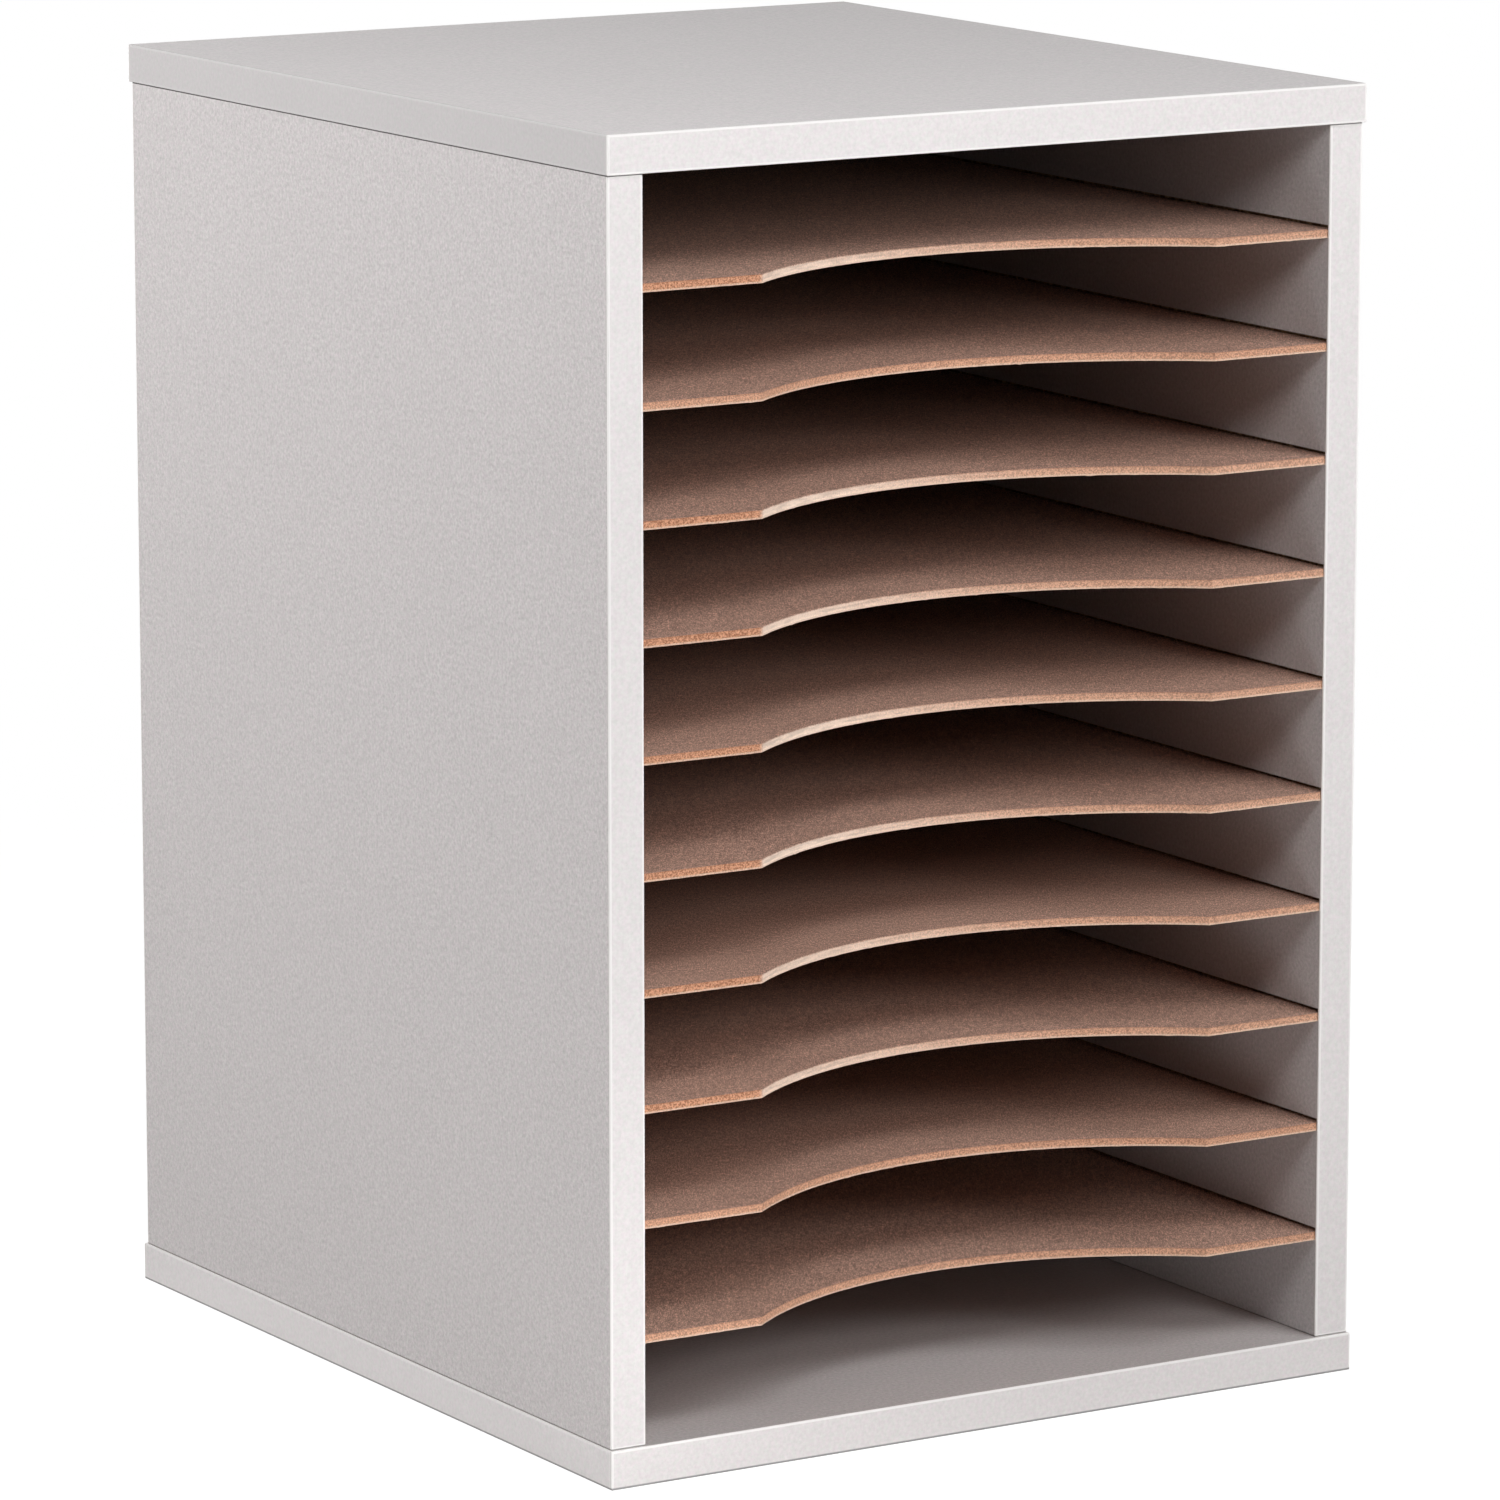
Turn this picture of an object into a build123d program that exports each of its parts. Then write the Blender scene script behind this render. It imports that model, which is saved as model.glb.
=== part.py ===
from build123d import *
import os

# Vertical desktop sorter: an open-fronted case of laminated board, divided by thin hardboard
# shelves that lie in grooves in the sides. Sizes are in millimetres. +Z is up, the open front
# faces -Y, and the origin is the middle of the underside, on the surface that it stands on.

# Case, measured over its top and bottom panels
case_width = 270.0
case_depth = 302.0
case_height = 406.4

# Laminated board and the bands glued to its cut edges
board_thickness = 12.0
band_thickness = 0.8
edge_radius = 0.4
end_chamfer = 0.3

# How far the top and bottom panels stand out past the side panels
side_reveal = 0.6
front_reveal = 1.2
rear_reveal = 1.2

# Shelves and the grooves that hold them
shelf_count = 10
shelf_thickness = 2.7
groove_height = 4.0
groove_depth = 3.0
shelf_end_clearance = 0.4
shelf_front_clearance = 0.2
shelf_rear_clearance = 0.5

# Thumb notch in each shelf's front edge, a shallow arc
notch_width = 162.0
notch_depth = 29.0

# Back panel, let into a rebate round the rear of the case
back_thickness = 3.0
back_setback = 1.0
rebate_width = 6.0
back_edge_clearance = 0.5

# Nails that hold the back panel
nail_shank_diameter = 1.3
nail_head_diameter = 2.8
nail_head_height = 0.6
nail_length = 16.0
nail_tip_length = 1.8
nail_hole_clearance = 0.05
nail_hole_end_clearance = 0.3
nail_row_pitch = 85.0
nail_row_count = 3
bays_per_side_nail = 2

# Dowels that join the sides to the top and bottom panels
dowel_diameter = 6.0
dowel_length = 25.0
dowel_depth_in_panel = 8.5
dowel_chamfer = 0.8
dowel_pitch = 110.0
dowels_per_joint = 3
dowel_glue_gap = 0.1
dowel_end_clearance = 0.5

# Case levels and faces that follow from those sizes
inside_bottom = board_thickness
inside_top = case_height - board_thickness
inside_height = inside_top - inside_bottom
outer_x = case_width / 2 - side_reveal
inner_x = outer_x - board_thickness
panel_front_y = -case_depth / 2
panel_rear_y = case_depth / 2
side_front_y = panel_front_y + front_reveal
side_rear_y = panel_rear_y - rear_reveal
groove_front_y = side_front_y + band_thickness
back_rear_y = side_rear_y - back_setback
shoulder_y = back_rear_y - back_thickness
rebate_x = inner_x + rebate_width

# Equal compartments above, between and below the grooves
compartment_height = (inside_height - shelf_count * groove_height) / (shelf_count + 1)
shelf_pitch = compartment_height + groove_height

# Cutters and blanks run this far past a face that they cut through
overrun = 1.0


def block(x0, x1, y0, y1, z0, z1):
    """A box between two opposite corners."""
    centre = Pos((x0 + x1) / 2, (y0 + y1) / 2, (z0 + z1) / 2)
    return centre * Box(x1 - x0, y1 - y0, z1 - z0)


def shelf_underside(number):
    """Height of the groove floor that a shelf rests on, where shelf 1 is the top one."""
    return inside_top - number * shelf_pitch


def bay_centre(number):
    """Height of the middle of a compartment, where compartment 1 is the top one."""
    return inside_top - (number - 1) * shelf_pitch - compartment_height / 2


def centred_row(count, pitch):
    """Evenly spaced places in a row, centred on zero."""
    return [(index - (count - 1) / 2) * pitch for index in range(count)]


# Dowels, one row along Y at each of the four joints
dowel_x = (inner_x + outer_x) / 2
dowel_places = centred_row(dowels_per_joint, dowel_pitch)
dowel_depth_in_side = dowel_length - dowel_depth_in_panel


def joint_level(at_top):
    """Height of the joint plane between the sides and the top or bottom panel."""
    return inside_top if at_top else inside_bottom


def dowel_solid(x, y, at_top):
    """One dowel across a joint, with its short end in the top or bottom panel."""
    direction = 1 if at_top else -1
    middle = joint_level(at_top) + direction * (dowel_depth_in_panel - dowel_length / 2)
    rod = Cylinder(dowel_diameter / 2, dowel_length)
    rod = chamfer(rod.edges().filter_by(GeomType.CIRCLE), dowel_chamfer)
    return Pos(x, y, middle) * rod


def dowel_hole(x, y, at_top):
    """The blind holes on both sides of a joint, as one cutter."""
    direction = 1 if at_top else -1
    middle = joint_level(at_top) + direction * (dowel_depth_in_panel - dowel_length / 2)
    radius = dowel_diameter / 2 + dowel_glue_gap
    return Pos(x, y, middle) * Cylinder(radius, dowel_length + 2 * dowel_end_clearance)


# Nails, driven forward through the back panel into the rebate's shoulder
nail_x = (inner_x + rebate_x) / 2
nail_high_z = inside_top + rebate_width / 2
nail_low_z = inside_bottom - rebate_width / 2
side_nail_heights = [
    bay_centre(number) for number in range(1, shelf_count + 2, bays_per_side_nail)
]
nail_row_places = centred_row(nail_row_count, nail_row_pitch)
nail_places = (
    [(-nail_x, z) for z in side_nail_heights]
    + [(nail_x, z) for z in side_nail_heights]
    + [(x, nail_high_z) for x in nail_row_places]
    + [(x, nail_low_z) for x in nail_row_places]
)


def rearward(x, z):
    """A plane on the back panel's rear face whose normal points to the rear."""
    return Plane(origin=(x, back_rear_y, z), x_dir=(1, 0, 0), z_dir=(0, 1, 0))


def nail_solid(x, z):
    """One nail, with its flat head on the back panel's rear face."""
    shank_radius = nail_shank_diameter / 2
    straight = nail_length - nail_tip_length
    profile = Polyline(
        (0, nail_head_height),
        (nail_head_diameter / 2, nail_head_height),
        (nail_head_diameter / 2, 0),
        (shank_radius, 0),
        (shank_radius, -straight),
        (0, -nail_length),
        close=True,
    )
    nail = revolve(Plane.XZ * make_face(profile), Axis.Z)
    return rearward(x, z) * nail


def nail_hole(x, z):
    """The hole that one nail makes through the back panel and into the board."""
    radius = nail_shank_diameter / 2 + nail_hole_clearance
    depth = nail_length + nail_hole_end_clearance
    cutter = Pos(0, 0, (overrun - depth) / 2) * Cylinder(radius, depth + overrun)
    return rearward(x, z) * cutter


def rebate_cutter():
    """The space that the back panel is let into, open to the rear."""
    return block(
        -rebate_x,
        rebate_x,
        shoulder_y,
        panel_rear_y + overrun,
        inside_bottom - rebate_width,
        inside_top + rebate_width,
    )


def cut_all(shape, cutters):
    """A shape with each cutter taken from it in turn."""
    for cutter in cutters:
        shape = shape - cutter
    return shape


def end_panel_nodes(name, z0, z1, at_top):
    """The top or bottom panel, as its board and its four edge bands."""
    half = case_width / 2
    whole = block(-half, half, panel_front_y, panel_rear_y, z0, z1)
    whole = fillet(whole.edges(), edge_radius)
    nail_z = nail_high_z if at_top else nail_low_z
    holes = [dowel_hole(side * dowel_x, y, at_top) for side in (-1, 1) for y in dowel_places]
    holes += [nail_hole(x, nail_z) for x in nail_row_places]
    whole = cut_all(whole, [rebate_cutter()] + holes)

    core_x = half - band_thickness
    core_front = panel_front_y + band_thickness
    core_rear = panel_rear_y - band_thickness
    return {
        f"{name}_panel": whole & block(-core_x, core_x, core_front, core_rear, z0, z1),
        f"{name}_front_band": whole & block(-half, half, panel_front_y, core_front, z0, z1),
        f"{name}_rear_band": whole & block(-half, half, core_rear, panel_rear_y, z0, z1),
        f"{name}_left_band": whole & block(-half, -core_x, core_front, core_rear, z0, z1),
        f"{name}_right_band": whole & block(core_x, half, core_front, core_rear, z0, z1),
    }


def side_panel_nodes(name, side):
    """One side panel, as its grooved board and its front and rear edge bands."""
    low_x = min(side * inner_x, side * outer_x)
    high_x = max(side * inner_x, side * outer_x)
    groove_end_x = side * (inner_x + groove_depth)
    groove_mouth_x = side * (inner_x - overrun)
    groove_low_x = min(groove_end_x, groove_mouth_x)
    groove_high_x = max(groove_end_x, groove_mouth_x)

    whole = block(low_x, high_x, side_front_y, side_rear_y, inside_bottom, inside_top)
    whole = fillet(whole.edges().filter_by(Axis.Z), edge_radius)
    end_faces = whole.faces().filter_by(Axis.Z)
    whole = chamfer(end_faces.edges(), end_chamfer)

    grooves = [
        block(
            groove_low_x,
            groove_high_x,
            groove_front_y,
            side_rear_y + overrun,
            shelf_underside(number),
            shelf_underside(number) + groove_height,
        )
        for number in range(1, shelf_count + 1)
    ]
    holes = [dowel_hole(side * dowel_x, y, at_top) for at_top in (True, False) for y in dowel_places]
    holes += [nail_hole(side * nail_x, z) for z in side_nail_heights]
    whole = cut_all(whole, [rebate_cutter()] + grooves + holes)

    core_front = side_front_y + band_thickness
    core_rear = side_rear_y - band_thickness
    z0 = inside_bottom
    z1 = inside_top
    return {
        f"{name}_side_panel": whole & block(low_x, high_x, core_front, core_rear, z0, z1),
        f"{name}_side_front_band": whole & block(low_x, high_x, side_front_y, core_front, z0, z1),
        f"{name}_side_rear_band": whole & block(low_x, high_x, core_rear, side_rear_y, z0, z1),
    }


def back_panel():
    """The hardboard back, with a nail hole at each nail."""
    reach = rebate_width - back_edge_clearance
    half = inner_x + reach
    blank = block(
        -half, half, shoulder_y, back_rear_y, inside_bottom - reach, inside_top + reach
    )
    return cut_all(blank, [nail_hole(x, z) for x, z in nail_places])


def shelf(number):
    """One shelf on its groove floors, with the thumb notch in its front edge."""
    half = inner_x + groove_depth - shelf_end_clearance
    front = groove_front_y + shelf_front_clearance
    rear = shoulder_y - shelf_rear_clearance
    z0 = shelf_underside(number)
    blank = block(-half, half, front, rear, z0, z0 + shelf_thickness)
    notch_radius = ((notch_width / 2) ** 2 + notch_depth**2) / (2 * notch_depth)
    notch_centre_y = front + notch_depth - notch_radius
    notch = Cylinder(notch_radius, shelf_thickness + 2 * overrun)
    return blank - Pos(0, notch_centre_y, z0 + shelf_thickness / 2) * notch


nodes = {}
nodes.update(end_panel_nodes("top", inside_top, case_height, True))
nodes.update(end_panel_nodes("bottom", 0.0, inside_bottom, False))
nodes.update(side_panel_nodes("left", -1))
nodes.update(side_panel_nodes("right", 1))
nodes["back_panel"] = back_panel()
for shelf_number in range(1, shelf_count + 1):
    nodes[f"shelf_{shelf_number:02d}"] = shelf(shelf_number)
for joint_name, joint_side, joint_at_top in (
    ("top_left", -1, True),
    ("top_right", 1, True),
    ("bottom_left", -1, False),
    ("bottom_right", 1, False),
):
    nodes[f"{joint_name}_dowels"] = Compound(
        [dowel_solid(joint_side * dowel_x, y, joint_at_top) for y in dowel_places]
    )
nodes["back_panel_nails"] = Compound([nail_solid(x, z) for x, z in nail_places])

os.makedirs("parts", exist_ok=True)
for node_name, node_shape in nodes.items():
    export_step(node_shape, f"parts/{node_name}.step")
print(f"{len(nodes)} sub-parts, clear compartment height {compartment_height:.2f} mm")
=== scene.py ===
"""Dresses a packed vertical desktop sorter and sets it on a plain pale stage.

The laminated boards, their edge bands and the back keep the shapes that they were packed
with and get their finishes here. The shelves, the nails and the dowels are made by node
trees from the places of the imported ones. Lengths are in metres. +Z is up, the open front
faces -Y, and colours are given as display values from 0 to 255.
"""

import math

import bpy
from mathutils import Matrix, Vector


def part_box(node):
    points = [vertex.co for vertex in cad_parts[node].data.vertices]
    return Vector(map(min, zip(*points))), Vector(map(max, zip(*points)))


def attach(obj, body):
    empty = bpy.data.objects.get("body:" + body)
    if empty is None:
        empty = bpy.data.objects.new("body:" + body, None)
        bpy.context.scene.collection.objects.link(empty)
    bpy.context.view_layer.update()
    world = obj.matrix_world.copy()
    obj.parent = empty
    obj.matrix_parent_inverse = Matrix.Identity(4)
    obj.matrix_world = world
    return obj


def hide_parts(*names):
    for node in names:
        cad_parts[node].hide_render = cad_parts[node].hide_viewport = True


bl_info = {
    "name": "Vertical desktop sorter",
    "version": (1, 0, 0),
    "blender": (4, 5, 0),
    "location": "View3D > Sidebar > Sorter",
    "description": "Makes the shelves, nails, dowels, finishes and stage of a desktop sorter",
    "category": "Object",
}

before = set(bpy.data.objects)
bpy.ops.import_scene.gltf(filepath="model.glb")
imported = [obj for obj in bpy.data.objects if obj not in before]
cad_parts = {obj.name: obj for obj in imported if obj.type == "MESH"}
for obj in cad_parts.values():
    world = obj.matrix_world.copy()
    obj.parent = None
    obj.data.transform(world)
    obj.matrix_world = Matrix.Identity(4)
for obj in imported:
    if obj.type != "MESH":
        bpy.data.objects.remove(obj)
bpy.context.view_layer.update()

MM = 0.001
BODY = "root"
X, Y, Z = 0, 1, 2
WHITE = (1.0, 1.0, 1.0, 1.0)

# Each laminated board: the axis through its thickness, and its tone beside the others
BOARDS = {
    "top_panel": (Z, 1.04),
    "bottom_panel": (Z, 1.0),
    "left_side_panel": (X, 1.0),
    # The right side panel's lower tone is painted shade: it darkens the whole board to stand in
    # for the shadow on its inner face inside the compartments
    "right_side_panel": (X, 0.88),
}

# Each edge band: the axis through its board's thickness, the axis and the direction in which
# the band faces outwards, and its tone, where 1 is the palest
BANDS = {
    "top_front_band": (Z, Y, -1, 1.0),
    "top_rear_band": (Z, Y, 1, 1.0),
    "top_left_band": (Z, X, -1, 0.72),
    "top_right_band": (Z, X, 1, 0.72),
    "bottom_front_band": (Z, Y, -1, 1.0),
    "bottom_rear_band": (Z, Y, 1, 1.0),
    "bottom_left_band": (Z, X, -1, 1.0),
    "bottom_right_band": (Z, X, 1, 1.0),
    "left_side_front_band": (X, Y, -1, 1.0),
    "left_side_rear_band": (X, Y, 1, 1.0),
    "right_side_front_band": (X, Y, -1, 1.0),
    "right_side_rear_band": (X, Y, 1, 1.0),
}

SHELVES = [name for name in sorted(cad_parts) if name.startswith("shelf_")]
DOWELS = [name for name in sorted(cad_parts) if name.endswith("_dowels")]
NAILS = "back_panel_nails"
BACK = "back_panel"

# How far along each axis a pattern is moved from one piece to the next, so that no two pieces
# carry the same marks
BOARD_SHIFT = (0.41, 0.23, 0.67)
BAND_SHIFT = (0.29, 0.53, 0.37)
BACK_SHIFT = (0.31, 0.17, 0.53)
TINT_SHIFT = (0.7, 0.2, 0.4)
SHELF_SHIFT = 0.37

# Soft noise mostly lies between these levels
NOISE_LOW, NOISE_HIGH = 0.3, 0.7

# A face is turned towards an axis where its normal's part along it lies past these levels
FACING_LOW, FACING_HIGH = 0.5, 0.75


def paint(red, green, blue):
    """The scene-linear colour of a display colour."""

    def linear(level):
        share = level / 255
        return share / 12.92 if share <= 0.04045 else ((share + 0.055) / 1.055) ** 2.4

    return (linear(red), linear(green), linear(blue))


def solid(color):
    """A three-part colour with full alpha, as a colour socket takes it."""
    return (*color, 1.0)


def shifted(step, place):
    """The shift of a pattern on the piece at a place in its row."""
    return tuple(part * place for part in step)


def span(node, axis):
    """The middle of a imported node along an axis, and half its length."""
    low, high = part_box(node)
    return (low[axis] + high[axis]) / 2, (high[axis] - low[axis]) / 2


# Node trees


class Sheet:
    """A node tree that is filled in one step at a time."""

    def __init__(self, tree):
        self.tree = tree

    def feed(self, socket, value):
        """Links a socket to an input, or gives the input a plain value."""
        if isinstance(value, bpy.types.NodeSocket):
            self.tree.links.new(value, socket)
        else:
            socket.default_value = value

    def add(self, kind, values=None, **settings):
        """Adds a node with its settings, and with its inputs' values or links."""
        step = self.tree.nodes.new(kind)
        for name, value in settings.items():
            setattr(step, name, value)
        for key, value in (values or {}).items():
            self.feed(step.inputs[key], value)
        return step

    def maths(self, operation, *values):
        """The result of one sum on numbers."""
        step = self.add("ShaderNodeMath", dict(enumerate(values)), operation=operation)
        return step.outputs[0]

    def plus(self, first, second):
        """One number added to another."""
        return self.maths("ADD", first, second)

    def minus(self, first, second):
        """One number less another."""
        return self.maths("SUBTRACT", first, second)

    def times(self, first, second):
        """One number multiplied by another."""
        return self.maths("MULTIPLY", first, second)

    def over(self, first, second):
        """One number divided by another."""
        return self.maths("DIVIDE", first, second)

    def vectors(self, operation, *values):
        """The result of one sum on vectors."""
        step = self.add("ShaderNodeVectorMath", dict(enumerate(values)), operation=operation)
        return step.outputs[0]

    def shaded(self, color, *factors):
        """A colour made lighter or darker by each factor in turn."""
        for factor in factors:
            values = {0: color, "Scale": factor}
            color = self.add("ShaderNodeVectorMath", values, operation="SCALE").outputs[0]
        return color

    def ramp(self, value, low, high, start=0.0, end=1.0, shape="SMOOTHSTEP"):
        """A value from low to high spread from start to end, and held beyond them."""
        values = {0: value, 1: low, 2: high, 3: start, 4: end}
        return self.add("ShaderNodeMapRange", values, interpolation_type=shape).outputs[0]

    def spread(self, noise, start, end):
        """A noise value spread so that it mostly lies from start to end."""
        return self.ramp(noise, NOISE_LOW, NOISE_HIGH, start, end)

    def swing(self, value, amount):
        """A noise value as a factor about one, up or down by the amount at its ends."""
        return self.maths("MULTIPLY_ADD", value, 2 * amount, 1 - amount)

    def dimmed(self, mark, amount):
        """A factor of one, which falls by the amount where a mark lies."""
        return self.maths("MULTIPLY_ADD", mark, -amount, 1.0)

    def split(self, vector):
        """The three parts of a vector."""
        return self.add("ShaderNodeSeparateXYZ", {0: vector}).outputs

    def join(self, x, y, z):
        """A vector from its three parts."""
        return self.add("ShaderNodeCombineXYZ", {0: x, 1: y, 2: z}).outputs[0]

    def noise(self, where, size, detail=2.0, roughness=0.5):
        """Soft noise whose spots are about the given size across."""
        values = {"Vector": where, "Scale": 1 / size, "Detail": detail, "Roughness": roughness}
        return self.add("ShaderNodeTexNoise", values).outputs[0]


# The two tints of the pale colours, and how much wider than a pebble a tinted patch is
PINK_TINT = (1.018, 0.99, 1.01, 1.0)
GREEN_TINT = (0.985, 1.01, 0.992, 1.0)
TINT_PATCH = 1.3

# The step in a cell's random value from no speck to a full one
CHANCE_STEP = 0.01


class Finish(Sheet):
    """A material that is built up on one surface shader, from object coordinates."""

    def __init__(self, name, shift=(0.0, 0.0, 0.0)):
        self.material = bpy.data.materials.new(name)
        self.material.use_nodes = True
        super().__init__(self.material.node_tree)
        self.surface = self.tree.nodes["Principled BSDF"]
        coordinates = self.add("ShaderNodeTexCoord")
        self.place = coordinates.outputs["Object"]
        self.facing = self.split(coordinates.outputs["Normal"])
        self.where = self.vectors("ADD", self.place, shift)

    def away(self, axis, place):
        """How far a point lies from a place along an axis, to either side."""
        return self.maths("ABSOLUTE", self.minus(self.split(self.place)[axis], place))

    def carried(self, name):
        """A named number that the mesh carries."""
        return self.add("ShaderNodeAttribute", attribute_name=name).outputs["Fac"]

    def stretched(self, axis, factor, where=None):
        """Coordinates in which a pattern is drawn out along one axis."""
        scale = [1.0, 1.0, 1.0]
        scale[axis] = 1 / factor
        return self.vectors("MULTIPLY", where or self.where, tuple(scale))

    def blend(self, factor, first, second):
        """One colour laid over another."""
        values = {0: factor, 6: first, 7: second}
        step = self.add("ShaderNodeMix", values, data_type="RGBA")
        return step.outputs[2]

    def pebbles(self, look):
        """The pebbled texture of the laminate and the bands."""
        return self.noise(self.where, look.pebble_size, detail=3.0, roughness=0.55)

    def tinted(self, color, look):
        """A pale colour that turns a little pink in some pebbles and a little green in others."""
        where = self.vectors("ADD", self.where, TINT_SHIFT)
        patch = self.noise(where, look.pebble_size * TINT_PATCH)
        share = self.ramp(patch, low=0.35, high=0.65, shape="LINEAR")
        return self.vectors("MULTIPLY", color, self.blend(share, PINK_TINT, GREEN_TINT))

    def cells(self, where, size):
        """Cells of a size, as the distance from each one's middle and its random value."""
        step = self.add("ShaderNodeTexVoronoi", {"Vector": where, "Scale": 1 / size})
        chance = self.add("ShaderNodeSeparateColor", {0: step.outputs["Color"]}).outputs[0]
        return step.outputs["Distance"], chance

    def specks(self, where, spacing, radius, share):
        """Small round specks in a share of the cells, as a factor from 0 to 1."""
        distance, chance = self.cells(where, spacing)
        reach = radius / spacing
        spot = self.ramp(distance, reach, reach / 2)
        return self.times(spot, self.ramp(chance, 1 - share, 1 - share + CHANCE_STEP))

    def upright(self):
        """1 where the surface stands up on edge, 0 on a level face."""
        level = self.maths("ABSOLUTE", self.facing[Z])
        return self.ramp(level, FACING_LOW, FACING_HIGH, 1.0, 0.0)

    def relief(self, height, depth, below=None):
        """A bumped normal from a height between 0 and 1, laid over another normal."""
        values = {"Height": height, "Distance": depth, "Strength": 1.0}
        if below is not None:
            values["Normal"] = below
        return self.add("ShaderNodeBump", values).outputs[0]

    def seam(self, level, reach, tone):
        """A factor that darkens a thin line from a height to a reach above or below it, as
        painted shade.
        """
        height = self.split(self.place)[Z]
        return self.ramp(height, level + reach / 2, level + reach, tone, 1.0)

    def end_shade_lines(self, color, node, look):
        """A colour with painted shade lines at the head and the foot of an upright board, where
        it meets the other boards.
        """
        low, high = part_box(node)
        head = self.seam(high.z, -look.shade_line_width, look.head_shade_tone)
        foot = self.seam(low.z, look.shade_line_width, look.foot_shade_tone)
        return self.shaded(color, head, foot)

    def done(self, color, roughness, normal):
        """Joins the colour, the roughness and the relief to the surface."""
        self.feed(self.surface.inputs["Base Color"], color)
        self.feed(self.surface.inputs["Roughness"], roughness)
        self.feed(self.surface.inputs["Normal"], normal)
        return self.material


# Laminate: the blur where the bare core begins, the size of its clouds, and its dots' spacing,
# radius and share of the places
SKIN_BLUR = 0.05 * MM
FACE_CLOUD = 60 * MM
FACE_DOTS = (11 * MM, 0.3 * MM, 0.12)

# The bare core's roughness, and how many times deeper than the laminate's its relief is
CORE_ROUGHNESS = 0.9
CORE_RELIEF = 6.0


def laminate_finish(node, axis, tone, look, shift):
    """Pebbled laminate on a board's two faces, and bare chipboard wherever it is cut."""
    finish = Finish(node.replace("_", " ") + " laminate", shift)
    middle, half = span(node, axis)
    skin_edge = half - look.skin_thickness
    skin = finish.ramp(finish.away(axis, middle), skin_edge - SKIN_BLUR, skin_edge)

    pebble = finish.pebbles(look)
    dust = finish.noise(finish.where, look.pebble_size / 3, detail=1.0)
    cloud = finish.noise(finish.where, FACE_CLOUD)
    dots = finish.specks(finish.where, *FACE_DOTS)
    face = finish.shaded(
        look.laminate_color,
        tone,
        finish.swing(pebble, look.pebble_contrast),
        finish.swing(dust, look.pebble_contrast / 2),
        finish.swing(cloud, 0.02),
        finish.dimmed(dots, 0.12),
    )
    face = finish.tinted(face, look)

    distance, chance = finish.cells(finish.where, look.chip_size)
    chips = finish.blend(chance, solid(look.chip_dark_color), solid(look.chip_light_color))
    crumbs = finish.noise(finish.where, look.chip_size / 5)
    gaps = finish.ramp(distance, low=0.2, high=0.8, start=1.0, end=0.6)
    core = finish.shaded(chips, finish.swing(crumbs, 0.3), gaps)

    color = finish.blend(skin, core, face)
    # Painted shade: dark lines at the head and the foot of an upright board
    if axis == X:
        color = finish.end_shade_lines(color, node, look)
    sheen = finish.spread(pebble, look.gloss_roughness - 0.05, look.gloss_roughness + 0.05)
    bare = finish.ramp(skin, 0.0, 1.0, CORE_ROUGHNESS, 0.0)
    roughness = finish.maths("MAXIMUM", sheen, bare)
    height = finish.times(pebble, finish.ramp(skin, 0.0, 1.0, CORE_RELIEF, 1.0))
    return finish.done(color, roughness, finish.relief(height, look.pebble_height))


# Bands: the width of the glue line, the share of a trimmed edge's width that is fully pale, the
# size of the clouds, and the dots' spacing, radius and share of the places
GLUE_LINE = 0.16 * MM
TRIM_FULL = 0.6
BAND_CLOUD = 35 * MM
BAND_DOTS = (14 * MM, 0.35 * MM, 0.15)

# The lines that drawing left along a band and the scuffs on it: their width, and how many
# times longer than wide they are
DRAWN_WIDTH, DRAWN_LENGTH = 0.5 * MM, 90.0
SCUFF_WIDTH, SCUFF_LENGTH = 1.2 * MM, 25.0

# How strongly a band shows the boards' pebbles, in tone and in relief
BAND_PEBBLE_TONE = 0.36
BAND_PEBBLE_RELIEF = 0.6


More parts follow.
